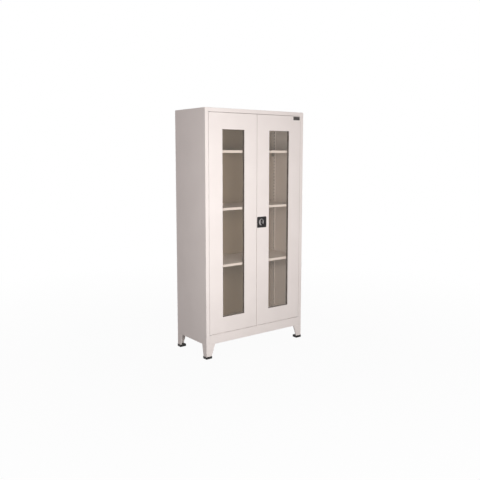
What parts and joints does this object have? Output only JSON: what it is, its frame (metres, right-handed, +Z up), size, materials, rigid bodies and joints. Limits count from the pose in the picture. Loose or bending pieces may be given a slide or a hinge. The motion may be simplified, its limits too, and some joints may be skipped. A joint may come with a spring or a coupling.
{
  "type": "glass door medical cabinet",
  "caption": "Upright sheet-steel medical cabinet on short tapered legs, with glazed swing doors, a dished turn-knob lock and adjustable shelves on slotted uprights.",
  "frame": {"origin": "on the floor, under the middle of the cabinet's box", "axes": "+Z up, -Y out of the doors, +X towards the lock side"},
  "size_m": [0.926, 0.412, 1.8],
  "materials": {
    "powder_coat": "satin off-white powder coat on folded steel sheet",
    "black_plastic": "black moulded plastic with a fine grain",
    "chrome_plate": "polished chrome plate",
    "zinc_steel": "zinc plated steel",
    "clear_glass": "clear float glass",
    "glazing_rubber": "black glazing channel",
    "white_nylon": "moulded nylon"
  },
  "bodies": {
    "cabinet": {"left_side_panel": "powder_coat", "right_side_panel": "powder_coat", "back_panel": "powder_coat", "top_panel": "powder_coat", "bottom_panel": "powder_coat", "door_header": "powder_coat", "front_plinth": "powder_coat", "front_left_leg": "powder_coat", "front_left_shoe": "black_plastic", "front_left_upright": "powder_coat", "lower_front_left_clip": "zinc_steel", "middle_front_left_clip": "zinc_steel", "upper_front_left_clip": "zinc_steel", "rear_left_leg": "powder_coat", "rear_left_shoe": "black_plastic", "rear_left_upright": "powder_coat", "lower_rear_left_clip": "zinc_steel", "middle_rear_left_clip": "zinc_steel", "upper_rear_left_clip": "zinc_steel", "front_right_leg": "powder_coat", "front_right_shoe": "black_plastic", "front_right_upright": "powder_coat", "lower_front_right_clip": "zinc_steel", "middle_front_right_clip": "zinc_steel", "upper_front_right_clip": "zinc_steel", "rear_right_leg": "powder_coat", "rear_right_shoe": "black_plastic", "rear_right_upright": "powder_coat", "lower_rear_right_clip": "zinc_steel", "middle_rear_right_clip": "zinc_steel", "upper_rear_right_clip": "zinc_steel", "lower_shelf": "powder_coat", "middle_shelf": "powder_coat", "upper_shelf": "powder_coat", "left_upper_pivot_pin": "zinc_steel", "left_lower_pivot_pin": "zinc_steel", "right_upper_pivot_pin": "zinc_steel", "right_lower_pivot_pin": "zinc_steel", "magnet_catch": "white_nylon"},
    "left_door": {"left_door_pan": "powder_coat", "left_door_inner_panel": "powder_coat", "left_door_glass": "clear_glass", "left_door_gasket": "glazing_rubber", "strike_plate": "zinc_steel"},
    "right_door": {"right_door_pan": "powder_coat", "right_door_inner_panel": "powder_coat", "right_door_glass": "clear_glass", "right_door_gasket": "glazing_rubber", "lock_plate": "black_plastic", "upper_rod_guide": "white_nylon", "lower_rod_guide": "white_nylon"},
    "lock_handle": {"lock_knob": "chrome_plate", "lock_cam": "zinc_steel"},
    "key_lock": {"key_barrel": "chrome_plate"},
    "upper_rod": {"upper_lock_rod": "zinc_steel"},
    "lower_rod": {"lower_lock_rod": "zinc_steel"}
  },
  "joints": [
    {"name": "left_door_hinge", "type": "hinge", "parent": "cabinet", "child": "left_door", "pos_m": [-0.419, -0.191, 0.972], "axis": [0, 0, -1], "range_deg": [0, 110]},
    {"name": "right_door_hinge", "type": "hinge", "parent": "cabinet", "child": "right_door", "pos_m": [0.419, -0.191, 0.972], "axis": [0, 0, 1], "range_deg": [0, 110]},
    {"name": "knob_turn", "type": "hinge", "parent": "right_door", "child": "lock_handle", "pos_m": [0.046, -0.197, 0.969], "axis": [0, -1, 0], "range_deg": [0, 90]},
    {"name": "key_turn", "type": "hinge", "parent": "lock_handle", "child": "key_lock", "pos_m": [0.046, -0.197, 0.969], "axis": [0, 1, 0], "range_deg": [0, 90]},
    {"name": "upper_rod_slide", "type": "slide", "parent": "right_door", "child": "upper_rod", "axis": [0, 0, 1], "range_m": [0, 0.02]},
    {"name": "lower_rod_slide", "type": "slide", "parent": "right_door", "child": "lower_rod", "axis": [0, 0, -1], "range_m": [0, 0.02]}
  ],
  "couplings": [
    {"joint": "knob_turn", "follows": "upper_rod_slide", "rad_per_m": 78.5},
    {"joint": "lower_rod_slide", "follows": "upper_rod_slide", "ratio": 1}
  ]
}
